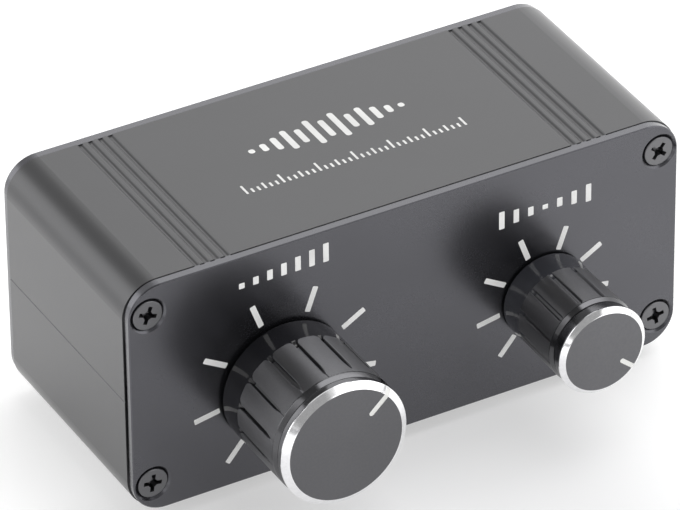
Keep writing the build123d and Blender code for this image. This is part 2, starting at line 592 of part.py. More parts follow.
# ============================================================= balance knob
with BuildPart() as balance_knob_body:
    with BuildSketch(half_section(BAL_X, KNOB_Z)):
        with BuildLine():
            Polyline((0, 14.9), (0, 13.4), (SHAFT_R, 13.4), (SHAFT_R, 5.5), (4.8, 5.5), (4.8, 2.6), (5.4, 2.6),
                     (5.4, B_RIM_H), (B_RIM_R - 0.1, B_RIM_H), (B_RIM_R, B_RIM_H + 0.1),
                     (B_SKIRT_R, B_SKIRT_H), (B_LAND_R, B_LAND_H), (B_GRIP_R, B_GRIP_H), (B_GRIP_R, B_GRIP_END),
                     (B_SHOULDER_R, B_SHOULDER_H), (B_COLLAR_R - 0.1, B_COLLAR_H0),
                     (B_COLLAR_R - 0.1, B_COLLAR_H0 + 0.1), (B_COLLAR_R, B_COLLAR_H0 + 0.16),
                     (B_COLLAR_R, B_COLLAR_H0 + 0.26), (B_COLLAR_END_R, B_COLLAR_H1),
                     (3.9, B_COLLAR_H1), (3.9, 14.9), (0, 14.9))
        make_face()
    revolve(axis=turning_axis(BAL_X, KNOB_Z))
    for k in range(B_SLOTS):
        with BuildSketch(radial_section(BAL_X, KNOB_Z, B_SLOT_PHASE + 360.0 / B_SLOTS * k)):
            with BuildLine():
                Polyline((B_SLOT_R, B_SLOT_H0 + B_SLOT_RUN0), (B_GRIP_R, B_SLOT_H0), (B_GRIP_R + 1, B_SLOT_H0),
                         (B_GRIP_R + 1, B_SLOT_H1), (B_GRIP_R, B_SLOT_H1),
                         (B_SLOT_R, B_SLOT_H1 - B_SLOT_RUN1), close=True)
            make_face()
        extrude(amount=B_SLOT_W / 2, both=True, mode=Mode.SUBTRACT)
balance_knob_body.part.label = "balance_knob_body"
export_step(balance_knob_body.part, "parts/balance_knob_body.step")

with BuildPart() as balance_knob_cap:
    with BuildSketch(half_section(BAL_X, KNOB_Z)):
        with BuildLine():
            Polyline((0, 14.9), (3.9, 14.9), (3.9, B_COLLAR_H1),
                     (B_CAP_R, B_COLLAR_H1), (B_CAP_R, B_CAP_H), (B_FACE_R, B_FACE_H), (0, B_FACE_H), close=True)
        make_face()
    revolve(axis=turning_axis(BAL_X, KNOB_Z))
    with BuildSketch(across(-B_FACE_H)):
        with Locations(Location((BAL_X, KNOB_Z, 0), (0, 0, -B_POINTER))):
            with Locations((0, B_POINTER_IN + B_POINTER_W / 2)):
                Circle(B_POINTER_W / 2)
            with Locations((0, (B_POINTER_IN + B_POINTER_W / 2 + B_CAP_R + 1) / 2)):
                Rectangle(B_POINTER_W, B_CAP_R + 1 - B_POINTER_IN - B_POINTER_W / 2)
    extrude(amount=-POINTER_DEEP, mode=Mode.SUBTRACT)
balance_knob_cap.part.label = "balance_knob_cap"
export_step(balance_knob_cap.part, "parts/balance_knob_cap.step")

with BuildPart() as balance_knob_pointer:
    with BuildSketch(across(-B_FACE_H + POINTER_DEEP)):
        with Locations(Location((BAL_X, KNOB_Z, 0), (0, 0, -B_POINTER))):
            with Locations((0, B_POINTER_IN + B_POINTER_W / 2)):
                Circle(B_POINTER_W / 2)
            with Locations((0, (B_POINTER_IN + B_POINTER_W / 2 + B_CAP_R + 1) / 2)):
                Rectangle(B_POINTER_W, B_CAP_R + 1 - B_POINTER_IN - B_POINTER_W / 2)
    extrude(amount=POINTER_DEEP)
    with BuildSketch(half_section(BAL_X, KNOB_Z)):
        with BuildLine():
            Polyline((0, B_COLLAR_H1), (B_CAP_R, B_COLLAR_H1), (B_CAP_R, B_CAP_H - POINTER_SUNK),
                     (B_FACE_R, B_FACE_H - POINTER_SUNK), (0, B_FACE_H - POINTER_SUNK), close=True)
        make_face()
    revolve(axis=turning_axis(BAL_X, KNOB_Z), mode=Mode.INTERSECT)
balance_knob_pointer.part.label = "balance_knob_pointer"
export_step(balance_knob_pointer.part, "parts/balance_knob_pointer.step")

# ============================================================= phono sockets
PHONO_FACE = REAR_IN - PHONO_FLANGE_T       # rear face of the socket blocks
PHONO_TOP = PHONO_Z + PHONO_BLOCK_UP
PHONO_BLOCK_H = PHONO_TOP - BOARD_TOP
PHONO_BLOCK_MID = (PHONO_TOP + BOARD_TOP) / 2

for pair, px in (("input", PHONO_PAIR_X), ("output", -PHONO_PAIR_X)):
    with BuildPart() as phono_block:
        with BuildSketch(across(PHONO_FACE)):
            with Locations((px, PHONO_BLOCK_MID)):
                Rectangle(PHONO_BLOCK_W, PHONO_BLOCK_H)
            # notch between the two sockets
            with Locations((px, PHONO_TOP)):
                Rectangle(3.2, 4.0, mode=Mode.SUBTRACT)
        extrude(amount=PHONO_BLOCK_L)
        chamfer(phono_block.edges().filter_by(Axis.Y).group_by(Axis.Z)[-1], length=0.6)
    phono_block.part.label = "phono_" + pair + "_block"
    export_step(phono_block.part, "parts/phono_" + pair + "_block.step")

    with BuildPart() as phono_sleeves:
        for d in (-1, 1):
            sx = px + d * PHONO_PITCH / 2
            with BuildSketch(half_section(sx, PHONO_Z)):
                with BuildLine():
                    Polyline((PHONO_IN_R, -PHONO_FACE), (PHONO_FLANGE_R, -PHONO_FACE), (PHONO_FLANGE_R, -REAR_IN),
                             (PHONO_COLLAR_R, -REAR_IN), (PHONO_COLLAR_R, -REAR_OUT), (PHONO_R, -REAR_OUT),
                             (PHONO_R, -PHONO_END + 0.3), (PHONO_R - 0.3, -PHONO_END),
                             (PHONO_IN_R, -PHONO_END), close=True)
                make_face()
            revolve(axis=turning_axis(sx, PHONO_Z))
    phono_sleeves.part.label = "phono_" + pair + "_sleeves"
    export_step(phono_sleeves.part, "parts/phono_" + pair + "_sleeves.step")

    with BuildPart() as phono_contacts:
        for d in (-1, 1):
            sx = px + d * PHONO_PITCH / 2
            with BuildSketch(half_section(sx, PHONO_Z)):
                with BuildLine():
                    Polyline((0, -CONTACT_START), (CONTACT_R, -CONTACT_START), (CONTACT_R, -CONTACT_END),
                             (CONTACT_IN_R, -CONTACT_END), (CONTACT_IN_R, -CONTACT_START - 0.5),
                             (0, -CONTACT_START - 0.5), close=True)
                make_face()
            revolve(axis=turning_axis(sx, PHONO_Z))
    phono_contacts.part.label = "phono_" + pair + "_contacts"
    export_step(phono_contacts.part, "parts/phono_" + pair + "_contacts.step")

    with BuildPart() as phono_terminals:
        with BuildSketch(Plane.XY.offset(MID_Z + BOARD_TOP)):
            with Locations(*[(px + d * PHONO_PITCH / 2 + p, FRONT_Y + PHONO_PIN_Y)
                             for d in (-1, 1) for p in PHONO_PIN_X]):
                Circle(PIN_R)
        extrude(amount=PIN_END - MID_Z - BOARD_TOP)
    phono_terminals.part.label = "phono_" + pair + "_terminals"
    export_step(phono_terminals.part, "parts/phono_" + pair + "_terminals.step")

# insulators, one colour for each channel
for channel, d in (("right", 1), ("left", -1)):
    with BuildPart() as phono_insulators:
        for pair_x in (-PHONO_PAIR_X, PHONO_PAIR_X):
            sx = pair_x + d * PHONO_PITCH / 2
            with BuildSketch(half_section(sx, PHONO_Z)):
                with BuildLine():
                    Polyline((0, -PHONO_FACE), (PHONO_IN_R, -PHONO_FACE), (PHONO_IN_R, -PHONO_INSULATOR_END),
                             (CONTACT_R, -PHONO_INSULATOR_END), (CONTACT_R, -CONTACT_START),
                             (0, -CONTACT_START), close=True)
                make_face()
            revolve(axis=turning_axis(sx, PHONO_Z))
    phono_insulators.part.label = "phono_insulators_" + channel
    export_step(phono_insulators.part, "parts/phono_insulators_" + channel + ".step")

# ============================================================= 3.5 mm sockets
JACK_TOP = JACK_Z + JACK_UP
JACK_BODY_H = JACK_TOP - BOARD_TOP
BARREL_IN = 1.5                             # barrel's length inside the body
JACK_BORE_END = JACK_END - JACK_BORE_L

with BuildPart() as jack_bodies:
    with BuildSketch(across(REAR_IN)):
        with Locations(*[(s * JACK_X, (JACK_TOP + BOARD_TOP) / 2) for s in (-1, 1)]):
            Rectangle(JACK_W, JACK_BODY_H)
    extrude(amount=JACK_L)
    chamfer(jack_bodies.edges().filter_by(Axis.Y).group_by(Axis.Z)[-1], length=0.6)
    with BuildSketch(across(REAR_IN)):
        with Locations((-JACK_X, JACK_Z), (JACK_X, JACK_Z)):
            Circle(JACK_BARREL_R)
    extrude(amount=BARREL_IN, mode=Mode.SUBTRACT)
    with BuildSketch(across(REAR_IN)):
        with Locations((-JACK_X, JACK_Z), (JACK_X, JACK_Z)):
            Circle(JACK_BORE_R)
    extrude(amount=REAR_IN - JACK_BORE_END, mode=Mode.SUBTRACT)
jack_bodies.part.label = "jack_bodies"
export_step(jack_bodies.part, "parts/jack_bodies.step")

with BuildPart() as jack_barrels:
    with BuildSketch(across(REAR_IN - BARREL_IN)):
        with Locations((-JACK_X, JACK_Z), (JACK_X, JACK_Z)):
            Circle(JACK_BARREL_R)
    extrude(amount=-(JACK_END - REAR_IN + BARREL_IN))
    chamfer(jack_barrels.edges().group_by(Axis.Y)[-1], length=0.3)
    with BuildSketch(across(JACK_END)):
        with Locations((-JACK_X, JACK_Z), (JACK_X, JACK_Z)):
            Circle(JACK_BORE_R)
    extrude(amount=JACK_END - REAR_IN + BARREL_IN, mode=Mode.SUBTRACT)
jack_barrels.part.label = "jack_barrels"
export_step(jack_barrels.part, "parts/jack_barrels.step")

with BuildPart() as jack_nuts:
    with BuildSketch(across(REAR_OUT)):
        for s in (-1, 1):
            with Locations((s * JACK_X, JACK_Z)):
                Circle(JACK_NUT_R)
                with PolarLocations(JACK_NUT_R + 0.12, 24):
                    Circle(0.25, mode=Mode.SUBTRACT)
                Circle(JACK_BARREL_R + 0.03, mode=Mode.SUBTRACT)
    extrude(amount=-JACK_NUT_T)
jack_nuts.part.label = "jack_nuts"
export_step(jack_nuts.part, "parts/jack_nuts.step")

with BuildPart() as jack_terminals:
    with BuildSketch(Plane.XY.offset(MID_Z + BOARD_TOP)):
        with Locations(*[(s * JACK_X + px, FRONT_Y + py)
                         for s in (-1, 1) for px in JACK_PIN_X for py in JACK_PIN_ROWS]):
            Circle(PIN_R)
    extrude(amount=PIN_END - MID_Z - BOARD_TOP)
jack_terminals.part.label = "jack_terminals"
export_step(jack_terminals.part, "parts/jack_terminals.step")
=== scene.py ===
"""Looks of a desktop monitor controller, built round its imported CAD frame.

Metres, +Z up, in the row's frame.  Most helpers take millimetres.
"""
from math import asin, atan2, cos, degrees, hypot, pi, radians, sin, sqrt

import bmesh
import bpy
from mathutils import Matrix, Quaternion, Vector


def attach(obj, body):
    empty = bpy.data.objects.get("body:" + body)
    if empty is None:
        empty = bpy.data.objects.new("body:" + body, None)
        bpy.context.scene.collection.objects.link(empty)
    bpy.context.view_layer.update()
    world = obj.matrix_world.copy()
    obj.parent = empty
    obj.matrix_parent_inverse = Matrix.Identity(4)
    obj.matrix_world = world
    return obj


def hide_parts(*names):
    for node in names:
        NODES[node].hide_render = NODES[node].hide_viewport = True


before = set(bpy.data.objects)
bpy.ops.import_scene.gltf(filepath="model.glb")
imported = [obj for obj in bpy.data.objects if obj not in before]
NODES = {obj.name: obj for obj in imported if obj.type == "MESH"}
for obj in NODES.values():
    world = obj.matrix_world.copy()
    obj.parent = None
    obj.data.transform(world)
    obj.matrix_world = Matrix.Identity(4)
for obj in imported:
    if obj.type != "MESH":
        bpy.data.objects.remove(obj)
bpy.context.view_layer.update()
MM = 0.001

# ------------------------------------------------------------------ the frame, mm
FRONT_Y = -14.065       # front plate's face
MID_Z = 20.85           # middle height of the case
BOX_W, BOX_H, BODY_L = 88.0, 37.7, 34.65
PLATE_T = 1.4
TOP_Z = MID_Z + BOX_H / 2
VOL_X, BAL_X, KNOB_Z = -20.0, 22.0, -3.8
SCREW_X, SCREW_Z = 40.7, 14.1


def panel(x, z, h):
    """A point h mm in front of the front plate's face, x and z from its middle."""
    return Vector((x * MM, (FRONT_Y - h) * MM, (MID_Z + z) * MM))


# ------------------------------------------------------------------ mesh helpers
def make(name, verts, faces, mats=(), body="root", smooth=True, angle=38.0, slots=None, indices=None):
    mesh = bpy.data.meshes.new(name)
    mesh.from_pydata([tuple(v) for v in verts], [], faces)
    mesh.validate()
    for m in mats:
        mesh.materials.append(m)
    if indices is not None:
        mesh.polygons.foreach_set("material_index", indices)
    if smooth:
        mesh.polygons.foreach_set("use_smooth", [True] * len(mesh.polygons))
        mesh.set_sharp_from_angle(angle=radians(angle))
    mesh.update()
    o = bpy.data.objects.new(name, mesh)
    bpy.context.scene.collection.objects.link(o)
    if body:
        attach(o, body)
    return o


def lathe(x, z, rows, n, phase=0.0):
    """Vertices and faces of a surface turned round a knob's axis.

    rows is a list of (radius, height); a radius of 0 closes the end."""
    verts, rings = [], []
    for r, h in rows:
        if r <= 0:
            rings.append([len(verts)])
            verts.append(panel(x, z, h))
        else:
            rings.append(list(range(len(verts), len(verts) + n)))
            for k in range(n):
                a = phase + 2 * pi * k / n
                verts.append(panel(x + r * sin(a), z + r * cos(a), h))
    faces, owners = [], []
    for j in range(len(rings) - 1):
        a, b = rings[j], rings[j + 1]
        for k in range(n):
            k2 = (k + 1) % n
            if len(a) == 1 and len(b) == 1:
                continue
            if len(a) == 1:
                faces.append((a[0], b[k2], b[k]))
            elif len(b) == 1:
                faces.append((a[k], a[k2], b[0]))
            else:
                faces.append((a[k], a[k2], b[k2], b[k]))
            owners.append(j)
    return verts, faces, owners


def smoothstep(a, b, v):
    t = min(1.0, max(0.0, (v - a) / (b - a)))
    return t * t * (3 - 2 * t)


def outward(o):
    """Turns a closed mesh's faces outwards."""
    bm = bmesh.new()
    bm.from_mesh(o.data)
    bmesh.ops.recalc_face_normals(bm, faces=bm.faces)
    bm.to_mesh(o.data)
    bm.free()
    o.data.update()


# ------------------------------------------------------------------ materials
class Mat:
    """A node material with a Principled shader and a few texture helpers."""

    def __init__(self, name, **sockets):
        self.m = bpy.data.materials.new(name)
        self.m.use_nodes = True
        self.t = self.m.node_tree
        self.t.nodes.clear()
        self.out = self.t.nodes.new("ShaderNodeOutputMaterial")
        self.p = self.t.nodes.new("ShaderNodeBsdfPrincipled")
        self.t.links.new(self.p.outputs[0], self.out.inputs[0])
        self.coord = self.t.nodes.new("ShaderNodeTexCoord")
        for k, v in sockets.items():
            self.p.inputs[k.replace("_", " ")].default_value = v

    def link(self, a, b):
        self.t.links.new(a, b)

    def node(self, kind, **props):
        n = self.t.nodes.new(kind)
        for k, v in props.items():
            setattr(n, k, v)
        return n

    def coords(self, scale=(1, 1, 1), rotation=(0, 0, 0), location=(0, 0, 0)):
        n = self.node("ShaderNodeMapping")
        n.inputs["Scale"].default_value = scale
        n.inputs["Rotation"].default_value = rotation
        n.inputs["Location"].default_value = location
        self.link(self.coord.outputs["Object"], n.inputs["Vector"])
        return n.outputs[0]

    def noise(self, scale, detail=2.0, rough=0.5, vector=None, dims=(1, 1, 1)):
        n = self.node("ShaderNodeTexNoise")
        n.inputs["Scale"].default_value = scale
        n.inputs["Detail"].default_value = detail
        n.inputs["Roughness"].default_value = rough
        self.link(vector if vector is not None else self.coords(dims), n.inputs["Vector"])
        return n.outputs["Fac"]

    def span(self, value, lo, hi, out_lo, out_hi, smooth=False):
        n = self.node("ShaderNodeMapRange")
        n.interpolation_type = "SMOOTHSTEP" if smooth else "LINEAR"
        n.inputs["From Min"].default_value = lo
        n.inputs["From Max"].default_value = hi
        n.inputs["To Min"].default_value = out_lo
        n.inputs["To Max"].default_value = out_hi
        self.link(value, n.inputs["Value"])
        return n.outputs["Result"]

    def math(self, op, a, b=None, clamp=False):
        n = self.node("ShaderNodeMath", operation=op, use_clamp=clamp)
        for i, v in enumerate((a, b)):
            if v is None:
                continue
            if isinstance(v, (int, float)):
                n.inputs[i].default_value = v
            else:
                self.link(v, n.inputs[i])
        return n.outputs[0]

    def mix(self, fac, a, b):
        n = self.node("ShaderNodeMix", data_type="RGBA")
        self.link(fac, n.inputs["Factor"])
        for i, v in ((6, a), (7, b)):
            if isinstance(v, tuple):
                n.inputs[i].default_value = (*v, 1.0)
            else:
                self.link(v, n.inputs[i])
        return n.outputs[2]

    def colour(self, socket):
        self.link(socket, self.p.inputs["Base Color"])

    def roughness(self, socket):
        self.link(socket, self.p.inputs["Roughness"])

    def bump(self, height, distance, strength=1.0):
        n = self.node("ShaderNodeBump")
        n.inputs["Strength"].default_value = strength
        n.inputs["Distance"].default_value = distance
        self.link(height, n.inputs["Height"])
        self.link(n.outputs[0], self.p.inputs["Normal"])


def grey(v, tint=0.0):
    return (v, v, v * (1 + tint))


def anodised(name, level, rough, metallic=0.92, grain=1.0, coat=1.0, tint=0.02):
    """Bead-blasted, dark anodised aluminium: fine grain, faint cloudiness, clear oxide layer."""
    k = Mat(name, Metallic=metallic, Coat_Weight=coat, Coat_Roughness=rough, Coat_IOR=1.5)
    cloud = k.noise(90.0, 3.0, 0.55)
    fine = k.noise(5200.0, 2.0, 0.6)
    both = k.math("ADD", k.math("MULTIPLY", cloud, 0.65), k.math("MULTIPLY", fine, 0.35))
    k.colour(k.mix(k.span(both, 0.3, 0.7, 0.0, 1.0), grey(level * 0.93, tint), grey(level * 1.07, tint + 0.01)))
    k.roughness(k.span(k.math("ADD", k.math("MULTIPLY", cloud, 0.5), k.math("MULTIPLY", fine, 0.5)),
                       0.3, 0.7, rough - 0.025, rough + 0.03))
    k.bump(fine, 0.0000035 * grain, 1.0)
    return k.m


def moulded(name, colour, rough, spec=0.5, wobble=0.04, bump=0.0):
    """Moulded plastic: slight unevenness of gloss, fine surface."""
    k = Mat(name)
    k.p.inputs["Specular IOR Level"].default_value = spec
    slow = k.noise(160.0, 2.0, 0.5)
    fine = k.noise(3600.0, 2.0, 0.6)
    k.colour(k.mix(k.span(slow, 0.3, 0.7, 0.0, 1.0), tuple(c * 0.9 for c in colour), tuple(min(1.0, c * 1.1) for c in colour)))
    k.roughness(k.span(k.math("ADD", k.math("MULTIPLY", slow, 0.6), k.math("MULTIPLY", fine, 0.4)),
                       0.3, 0.7, max(0.02, rough - wobble), rough + wobble))
    if bump:
        k.bump(fine, bump, 1.0)
    return k.m


def metal(name, colour, rough, wobble=0.04, scale=1500.0, dims=(1, 1, 1), bump=0.0, aniso=0.0):
    k = Mat(name, Metallic=1.0, Anisotropic=aniso)
    v = k.coords(dims)
    n = k.noise(scale, 3.0, 0.6, vector=v)
    k.colour(k.mix(k.span(n, 0.3, 0.7, 0.0, 1.0), tuple(c * 0.95 for c in colour), tuple(min(1.0, c * 1.04) for c in colour)))
    k.roughness(k.span(n, 0.3, 0.7, max(0.02, rough - wobble), rough + wobble))
    if bump:
        k.bump(n, bump, 1.0)
    return k.m


CASE = anodised("case_anodised", 0.044, 0.37, coat=0.82, tint=0.05)
PLATE = anodised("plate_anodised", 0.062, 0.26, tint=0.16)
SCREW = anodised("screw_black", 0.112, 0.30, metallic=1.0, grain=2.0, tint=0.05)
RUBBER = moulded("foot_rubber", (0.018, 0.018, 0.018), 0.7, 0.3, 0.05, 0.000006)
BOARD = moulded("board", (0.02, 0.12, 0.045), 0.35, 0.5, 0.05)
LACQUER = moulded("resistor_lacquer", (0.16, 0.34, 0.52), 0.25)
CASTING = metal("pot_casting", (0.50, 0.50, 0.51), 0.34, 0.08, 900.0)
POT_PLASTIC = moulded("pot_plastic", (0.022, 0.022, 0.024), 0.42)
ROTOR = moulded("rotor_plastic", (0.66, 0.64, 0.58), 0.4)
TINNED = metal("tinned_pins", (0.66, 0.66, 0.67), 0.28)
NICKEL = metal("nickel", (0.70, 0.68, 0.64), 0.14, 0.05, 1200.0)
SHAFT = metal("shaft_aluminium", (0.74, 0.74, 0.75), 0.26, 0.06, 1200.0)
SOCKET = moulded("socket_plastic", (0.014, 0.014, 0.015), 0.4)
BRASS = metal("contact_brass", (0.83, 0.62, 0.28), 0.2)
RED = moulded("insulator_red", (0.45, 0.012, 0.014), 0.28)
WHITE = moulded("insulator_white", (0.75, 0.75, 0.72), 0.3)
KNOB_SATIN = moulded("knob_satin", (0.022, 0.022, 0.024), 0.42, 0.6, 0.03, 0.0000012)
KNOB_GLOSS = moulded("knob_gloss", (0.010, 0.010, 0.012), 0.14, 0.55, 0.02)
KNOB_GLOSS_B = moulded("knob_gloss_small", (0.034, 0.035, 0.041), 0.14, 0.55, 0.02)
KNOB_SEMI = moulded("knob_semi", (0.014, 0.014, 0.016), 0.24, 0.6, 0.03, 0.0000008)
INK = moulded("print_white", (0.86, 0.86, 0.85), 0.5, 0.4, 0.05)
# painted shade: the top's print is a darker copy of the front's white ink, evening out the stronger light on the top
INK_TOP_SHADED = moulded("print_white_top_shaded", (0.66, 0.66, 0.65), 0.5, 0.4, 0.05)
PAINT = moulded("pointer_white", (0.78, 0.78, 0.76), 0.45, 0.4, 0.05)


def spun(name, level, rough, aniso, edge=1.0):
    """Turned anodised metal: very fine rings round the knob's axis.

    edge is the reflection at grazing angles, 1 for a bare metal."""
    k = Mat(name, Metallic=0.95, Anisotropic=aniso, Anisotropic_Rotation=0.25, Specular_Tint=(edge, edge, edge, 1.0))
    fine = k.noise(2600.0, 2.0, 0.6)
    k.colour(k.mix(k.span(fine, 0.3, 0.7, 0.0, 1.0), grey(level * 0.96, 0.05), grey(level * 1.05, 0.05)))
    k.roughness(k.span(fine, 0.3, 0.7, rough - 0.02, rough + 0.02))
    t = k.node("ShaderNodeTangent", direction_type="RADIAL", axis="Y")
    k.link(t.outputs[0], k.p.inputs["Tangent"])
    return k.m


CAP_FACE = spun("cap_spun", 0.129, 0.30, 0.55)
CAP_FACE_B = spun("cap_spun_small", 0.139, 0.30, 0.55)
LAND_BIG = spun("knob_turned_satin", 0.150, 0.40, 0.88, 0.70)
LAND_SMALL = spun("knob_turned_semi", 0.142, 0.36, 0.87, 0.74)
EDGE = spun("knob_turned_bright", 0.125, 0.17, 0.4, 0.75)
CHAMFER = spun("knob_turned_chamfer", 0.098, 0.17, 0.4, 0.95)
CAP_BRIGHT = metal("cap_bright_bevel", (0.90, 0.90, 0.91), 0.12, 0.03, 1400.0)

CAD_MATERIALS = {
    "top_shell": CASE, "bottom_shell": CASE,
    "front_plate": PLATE, "rear_plate": PLATE,
    "front_plate_screws": SCREW, "rear_plate_screws": SCREW,
    "rubber_feet": RUBBER, "circuit_board": BOARD, "balance_resistors": LACQUER,
    "phono_input_block": SOCKET, "phono_output_block": SOCKET,
    "phono_input_sleeves": NICKEL, "phono_output_sleeves": NICKEL,
    "phono_input_contacts": BRASS, "phono_output_contacts": BRASS,
    "phono_input_terminals": TINNED, "phono_output_terminals": TINNED,
    "phono_insulators_right": RED, "phono_insulators_left": WHITE,
    "jack_bodies": SOCKET, "jack_barrels": NICKEL, "jack_nuts": NICKEL, "jack_terminals": TINNED,
}
for c in ("volume", "balance"):
    CAD_MATERIALS.update({
        c + "_pot_bushing": CASTING, c + "_pot_housing": POT_PLASTIC, c + "_pot_cover": POT_PLASTIC,
        c + "_pot_terminals": TINNED, c + "_pot_washer": NICKEL, c + "_pot_nut": NICKEL,
        c + "_pot_rotor": ROTOR, c + "_shaft": SHAFT, c + "_knob_body": KNOB_SATIN,
        c + "_knob_cap": CAP_FACE, c + "_knob_pointer": PAINT,
    })
for name, o in NODES.items():
    m = CAD_MATERIALS[name]
    if not o.material_slots:
        o.data.materials.append(m)
    for s in o.material_slots:
        s.material = m


# ------------------------------------------------------------------ knob bodies
def knob_body(name, body, node, x, z, spec):
    """A moulded knob body: flared skirt, lands between slots, shoulder, collar.

    The surface is a grid round the axis.  root(h) is its radius in the slots
    and at the waist, land(h) its radius on the lands."""
    n = spec["slots"]
    half = pi * spec["arc_r"] / n               # half the pitch along the arc, mm
    sw = spec["slot_w"] / 2
    across = [u for u in spec["across"] if u < half - 0.05] + [half]
    across = [-u for u in reversed(across[1:])][1:] + across    # one pitch round a slot
    cols = []
    for k in range(n):
        centre = radians(spec["phase"] + 360.0 / n * k)
        for u in across:
            cols.append((centre + u / spec["arc_r"], abs(u)))

    def mask(u, h):
        """1 on a land, 0 in a slot or at the waist, smooth at the edges."""
        r = spec["corner"]
        start = spec["land_start"]
        du, dh = u - sw, h - start
        if du < r and dh < r:
            d = r - hypot(r - du, r - dh)
        else:
            d = min(du, dh)
        soft = spec["soft_rear"] if dh < 1.6 * r else spec["soft_side"]
        body_m = smoothstep(-0.25 * soft, soft, d) ** 0.6
        taper = spec["slot_end"] - spec["slot_taper"]
        if h > taper:                            # the slot narrows to a point at its front end
            w = sw * sqrt(max(0.0, 1.0 - (h - taper) / (spec["slot_end"] - taper)))
            body_m = max(body_m, smoothstep(-0.04, 0.09, u - w))
        return body_m

    rows = []                                   # (height, root radius, land radius, material)
    for r, h in spec["skirt"]:
        rows.append((h, r, r, 0))
    for h in spec["grip_rows"]:
        rows.append((h, spec["root"](h), spec["land"](h), 1))
    for r, h in spec["shoulder"]:
        rows.append((h, r, r, 3))
    for r, h in spec["collar"]:
        rows.append((h, r, r, 2))
    verts, faces, index = [], [], []
    m = len(cols)
    for h, r0, r1, _ in rows:
        for a, u in cols:
            r = r0 if r0 == r1 else r0 + (r1 - r0) * mask(u, h)
            verts.append(panel(x + r * sin(a), z + r * cos(a), h))
    for j in range(len(rows) - 1):
        for k in range(m):
            k2 = (k + 1) % m
            faces.append((j * m + k, j * m + k2, (j + 1) * m + k2, (j + 1) * m + k))
            mat = rows[j + 1][3]
            if mat == 1 and spec["gloss_waist"](rows[j][0], cols[k][1]):
                mat = 0
            index.append(mat)
    # the inside, as in the CAD body
    last = [(len(rows) - 1) * m + k for k in range(m)]
    first = list(range(m))
    for ring_rows, start_ring, flip in ((spec["inside_top"], last, False), (spec["inside_bottom"], first, True)):
        prev = start_ring
        for r, h in ring_rows:
            if r <= 0:
                c = len(verts)
                verts.append(panel(x, z, h))
                for k in range(m):
                    k2 = (k + 1) % m
                    faces.append((prev[k2], prev[k], c) if flip else (prev[k], prev[k2], c))
                    index.append(2)
                prev = None
                break
            ring = list(range(len(verts), len(verts) + m))
            for a, u in cols:
                verts.append(panel(x + r * sin(a), z + r * cos(a), h))
            for k in range(m):
                k2 = (k + 1) % m
                f = (prev[k], prev[k2], ring[k2], ring[k])
                faces.append(tuple(reversed(f)) if flip else f)
                index.append(2)
            prev = ring
    o = make(name, verts, faces, spec["mats"], body, True, 40.0, indices=index)
    outward(o)
    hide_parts(node)
    return o


def arc_rows(a, b, bulge, n):
    """Points from a to b, (r, h), bowed towards the axis by bulge mm."""
    out = []
    for i in range(n + 1):
        t = i / n
        out.append((a[0] + (b[0] - a[0]) * t - bulge * 4 * t * (1 - t), a[1] + (b[1] - a[1]) * t))
    return out


def lerp_table(table):
    def f(h):
        for (h0, r0), (h1, r1) in zip(table, table[1:]):
            if h <= h1:
                t = max(0.0, (h - h0) / (h1 - h0))
                t = t * t * (3 - 2 * t) if len(table) > 2 else t
                return r0 + (r1 - r0) * t
        return table[-1][1]
    return f


def linear_table(table):
    def f(h):
        for (h0, r0), (h1, r1) in zip(table, table[1:]):
            if h <= h1:
                return r0 + (r1 - r0) * max(0.0, (h - h0) / (h1 - h0))
        return table[-1][1]
    return f


V_SKIRT = [(9.70, 0.60), (9.80, 0.62), (9.85, 0.69), (9.86, 0.80), (9.87, 1.4), (9.88, 2.1), (9.89, 2.8), (9.89, 3.4), (9.89, 3.8),
           (9.88, 4.1)]
V_GRIP = [4.3, 4.4, 4.48, 4.54, 4.6, 4.66, 4.72, 4.78, 4.84, 4.9, 4.96, 5.03, 5.1, 5.18, 5.27, 5.37, 5.48, 5.6, 5.75, 5.95, 6.2,
          6.6, 7.3, 8.2, 9.2, 10.2, 11.2, 12.0, 12.6, 13.05, 13.3, 13.5, 13.66, 13.78, 13.88, 13.96, 14.03, 14.09, 14.14, 14.19, 14.25, 14.4, 14.65, 14.78]
knob_body("volume_knob_moulding", "volume", "volume_knob_body", VOL_X, KNOB_Z, {
    "slots": 15, "phase": 46.7 - 4.3, "arc_r": 9.75, "slot_w": 0.50,
    "across": [0, 0.1, 0.17, 0.21, 0.235, 0.255, 0.275, 0.3, 0.34, 0.4, 0.48, 0.58, 0.7, 0.84, 1.0, 1.2, 1.45, 1.75],
    "corner": 0.28, "land_start": 4.58, "soft_rear": 0.22, "soft_side": 0.12, "slot_end": 13.9, "slot_taper": 1.5,
    "skirt": V_SKIRT, "grip_rows": V_GRIP,
    "root": linear_table([(0, 9.88), (4.3, 9.878), (4.66, 9.868), (4.84, 9.858), (4.96, 9.80), (5.1, 9.68), (5.27, 9.52), (5.48, 9.40), (5.75, 9.34), (6.2, 9.32),
                          (12.6, 9.33), (13.3, 9.5), (13.9, 9.8), (18, 9.9)]),
    "land": linear_table([(0, 9.88), (4.3, 9.878), (4.66, 9.868), (5.2, 9.845), (6.2, 9.83), (9.0, 9.85), (12.0, 9.885), (18, 9.90)]),
    "shoulder": [(9.89, 14.94), (9.865, 15.02), (9.60, 15.70), (9.57, 15.76)],
    "collar": [(9.52, 15.78), (9.52, 15.82), (9.62, 15.84), (9.635, 15.90), (9.63, 15.98), (9.56, 16.4), (9.465, 16.93), (9.46, 16.95), (9.43, 16.99)],
    "gloss_waist": lambda h, u: h < 4.82 + 0.7 * max(0.0, 1.0 - max(0.0, u - 0.3) / 0.65) ** 2 or (u < 0.29 and h < 5.8),
    "inside_top": [(6.0, 17.0), (6.0, 16.0), (0, 16.0)],
    "inside_bottom": [(7.4, 0.6), (7.4, 14.2), (4.2, 14.2), (4.2, 5.5), (3.0, 5.5), (3.0, 13.4), (0, 13.4)],
    "mats": [KNOB_GLOSS, LAND_BIG, EDGE, CHAMFER],
})

